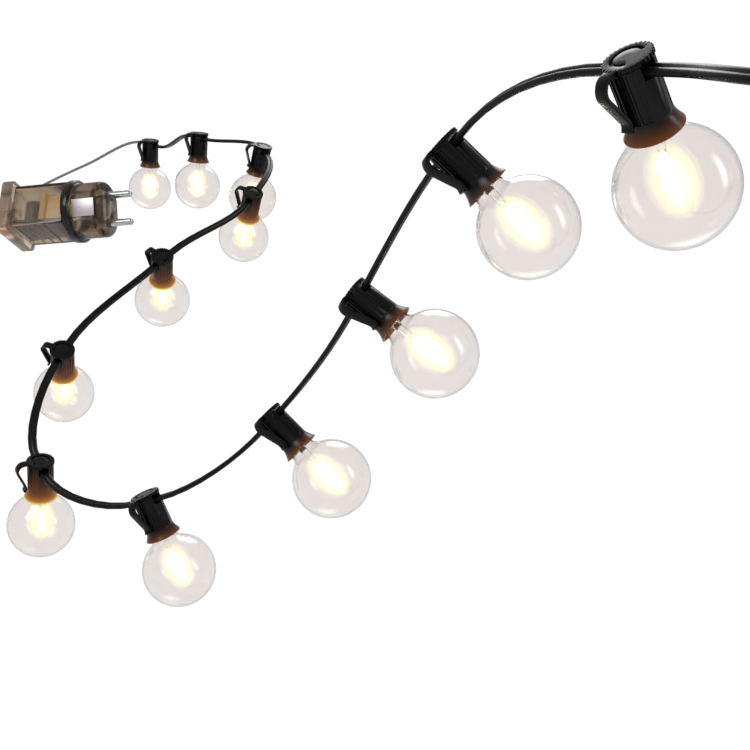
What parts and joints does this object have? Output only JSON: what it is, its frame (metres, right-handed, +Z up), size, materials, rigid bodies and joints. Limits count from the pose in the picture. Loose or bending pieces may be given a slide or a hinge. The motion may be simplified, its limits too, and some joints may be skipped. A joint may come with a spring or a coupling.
{
  "type": "plug-in globe string lights",
  "caption": "Garland of clear globe bulbs in fluted black sockets with hanging straps on one flat cable, fed by a smoked round-pin plug adapter.",
  "frame": {"origin": "where a hook bears inside the hanging strap of lamp 12, the highest lamp", "axes": "+Z up, +Y along the string from the near lamps to the far ones, +X to the right of someone facing along +Y"},
  "size_m": [0.4686, 0.7997, 0.3049],
  "materials": {
    "socket_plastic": "satin moulded plastic",
    "clear_glass": "clear, thin",
    "bulb_base": "plated, with a glass stem and filament",
    "cable_sheath": "matte sheath",
    "smoked_plastic": "clear smoked brown",
    "plated_steel": "plated",
    "board": "lacquered board",
    "winding_tape": "polyester tape"
  },
  "bodies": {
    "string": {"socket_01": "socket_plastic", "cap_01": "socket_plastic", "socket_02": "socket_plastic", "cap_02": "socket_plastic", "socket_03": "socket_plastic", "cap_03": "socket_plastic", "socket_04": "socket_plastic", "cap_04": "socket_plastic", "socket_05": "socket_plastic", "cap_05": "socket_plastic", "socket_06": "socket_plastic", "cap_06": "socket_plastic", "socket_07": "socket_plastic", "cap_07": "socket_plastic", "socket_08": "socket_plastic", "cap_08": "socket_plastic", "socket_09": "socket_plastic", "cap_09": "socket_plastic", "socket_10": "socket_plastic", "cap_10": "socket_plastic", "socket_11": "socket_plastic", "cap_11": "socket_plastic", "socket_12": "socket_plastic", "cap_12": "socket_plastic", "cable": "cable_sheath", "end_cap": "cable_sheath", "cable_gland": "cable_sheath", "plug_nose": "smoked_plastic", "plug_body": "smoked_plastic", "rear_cover": "smoked_plastic", "pin_live": "plated_steel", "pin_neutral": "plated_steel", "earth_strip_front": "plated_steel", "earth_strip_back": "plated_steel", "circuit_board": "board", "transformer": "winding_tape"},
    "bulb_01": {"globe_01": "clear_glass", "bulb_base_01": "bulb_base"},
    "bulb_02": {"globe_02": "clear_glass", "bulb_base_02": "bulb_base"},
    "bulb_03": {"globe_03": "clear_glass", "bulb_base_03": "bulb_base"},
    "bulb_04": {"globe_04": "clear_glass", "bulb_base_04": "bulb_base"},
    "bulb_05": {"globe_05": "clear_glass", "bulb_base_05": "bulb_base"},
    "bulb_06": {"globe_06": "clear_glass", "bulb_base_06": "bulb_base"},
    "bulb_07": {"globe_07": "clear_glass", "bulb_base_07": "bulb_base"},
    "bulb_08": {"globe_08": "clear_glass", "bulb_base_08": "bulb_base"},
    "bulb_09": {"globe_09": "clear_glass", "bulb_base_09": "bulb_base"},
    "bulb_10": {"globe_10": "clear_glass", "bulb_base_10": "bulb_base"},
    "bulb_11": {"globe_11": "clear_glass", "bulb_base_11": "bulb_base"},
    "bulb_12": {"globe_12": "clear_glass", "bulb_base_12": "bulb_base"}
  },
  "joints": [
    {"name": "bulb_01_unscrew", "type": "slide", "parent": "string", "child": "bulb_01", "axis": [-0.0994, 0.0497, -0.9938], "range_m": [0, 0.011]},
    {"name": "bulb_02_unscrew", "type": "slide", "parent": "string", "child": "bulb_02", "axis": [-0.0995, 0, -0.995], "range_m": [0, 0.011]},
    {"name": "bulb_03_unscrew", "type": "slide", "parent": "string", "child": "bulb_03", "axis": [-0.24, 0.144, -0.96], "range_m": [0, 0.011]},
    {"name": "bulb_04_unscrew", "type": "slide", "parent": "string", "child": "bulb_04", "axis": [-0.2542, 0.4661, -0.8474], "range_m": [0, 0.011]},
    {"name": "bulb_05_unscrew", "type": "slide", "parent": "string", "child": "bulb_05", "axis": [-0.1654, 0.5375, -0.8269], "range_m": [0, 0.011]},
    {"name": "bulb_06_unscrew", "type": "slide", "parent": "string", "child": "bulb_06", "axis": [-0.2096, 0.5031, -0.8384], "range_m": [0, 0.011]},
    {"name": "bulb_07_unscrew", "type": "slide", "parent": "string", "child": "bulb_07", "axis": [-0.1467, 0.1467, -0.9782], "range_m": [0, 0.011]},
    {"name": "bulb_08_unscrew", "type": "slide", "parent": "string", "child": "bulb_08", "axis": [0.3678, -0.1379, -0.9196], "range_m": [0, 0.011]},
    {"name": "bulb_09_unscrew", "type": "slide", "parent": "string", "child": "bulb_09", "axis": [0.7082, -0.2897, -0.6438], "range_m": [0, 0.011]},
    {"name": "bulb_10_unscrew", "type": "slide", "parent": "string", "child": "bulb_10", "axis": [0.7895, -0.3158, -0.5263], "range_m": [0, 0.011]},
    {"name": "bulb_11_unscrew", "type": "slide", "parent": "string", "child": "bulb_11", "axis": [0.7202, -0.2292, -0.6548], "range_m": [0, 0.011]},
    {"name": "bulb_12_unscrew", "type": "slide", "parent": "string", "child": "bulb_12", "axis": [0.4661, 0.2542, -0.8474], "range_m": [0, 0.011]}
  ]
}
